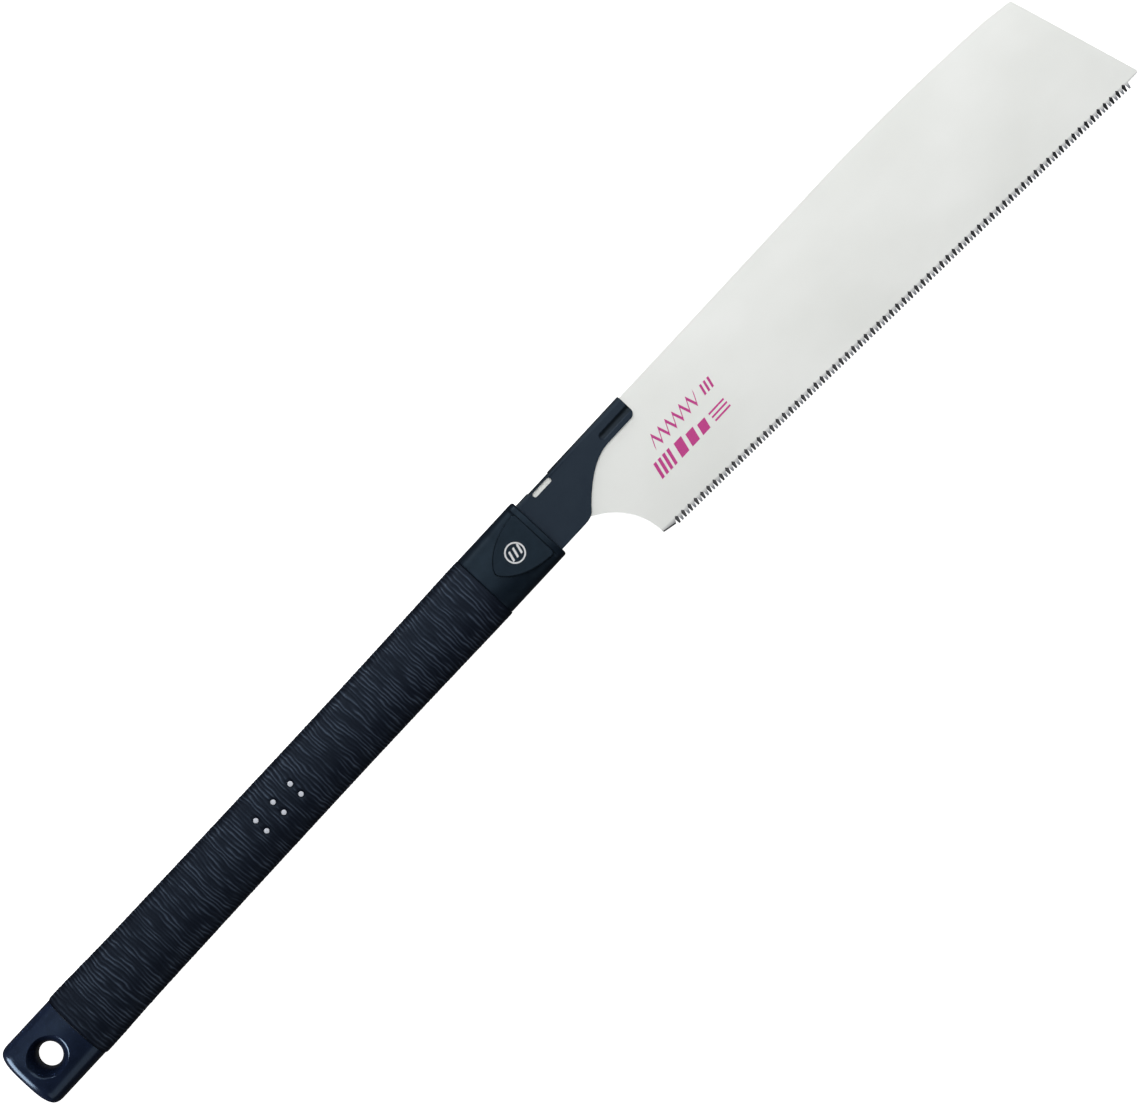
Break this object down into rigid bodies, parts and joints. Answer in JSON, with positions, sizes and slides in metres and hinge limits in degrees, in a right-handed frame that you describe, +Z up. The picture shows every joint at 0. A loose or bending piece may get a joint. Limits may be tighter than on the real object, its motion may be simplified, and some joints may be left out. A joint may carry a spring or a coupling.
{
  "type": "hand saw",
  "caption": "Pull saw: a thin tapering toothed blade hooked into a folded steel holder, on a long oval rubber-sleeved handle with a hang hole.",
  "frame": {"origin": "centre of the bounding box's underside, on the surface the saw lies on", "axes": "+X from the butt end to the blade's toe, +Y from the teeth towards the spine, +Z up, across the blade"},
  "size_m": [0.6187, 0.0713, 0.0232],
  "materials": {
    "blade_steel": "fine ground, pale silver",
    "holder_paint": "satin blue-black paint",
    "pin_steel": "plain steel",
    "ferrule_plastic": "satin blue-black moulding",
    "cap_plastic": "satin blue-black moulding",
    "core_plastic": "plain black moulding",
    "grip_elastomer": "fine crinkled blue-black rubber",
    "white_plastic": "satin white"
  },
  "bodies": {
    "handle": {"blade_holder": "holder_paint", "hook_pin": "pin_steel", "tang_spacer": "pin_steel", "tang_pin_rear": "pin_steel", "tang_pin_front": "pin_steel", "front_ferrule": "ferrule_plastic", "badge_plate_right": "ferrule_plastic", "badge_plate_left": "ferrule_plastic", "handle_tube": "core_plastic", "grip_sleeve": "grip_elastomer", "butt_cap": "cap_plastic", "grip_pip_upper_1": "white_plastic", "grip_pip_lower_1": "white_plastic", "grip_pip_upper_2": "white_plastic", "grip_pip_lower_2": "white_plastic", "grip_pip_upper_3": "white_plastic", "grip_pip_lower_3": "white_plastic"},
    "blade": {"blade": "blade_steel"}
  },
  "joints": [
    {"name": "blade_swing", "type": "hinge", "parent": "handle", "child": "blade", "pos_m": [-0.01065, 0.0203, 0.0116], "axis": [0, 0, 1], "range_deg": [-22, 0]}
  ]
}
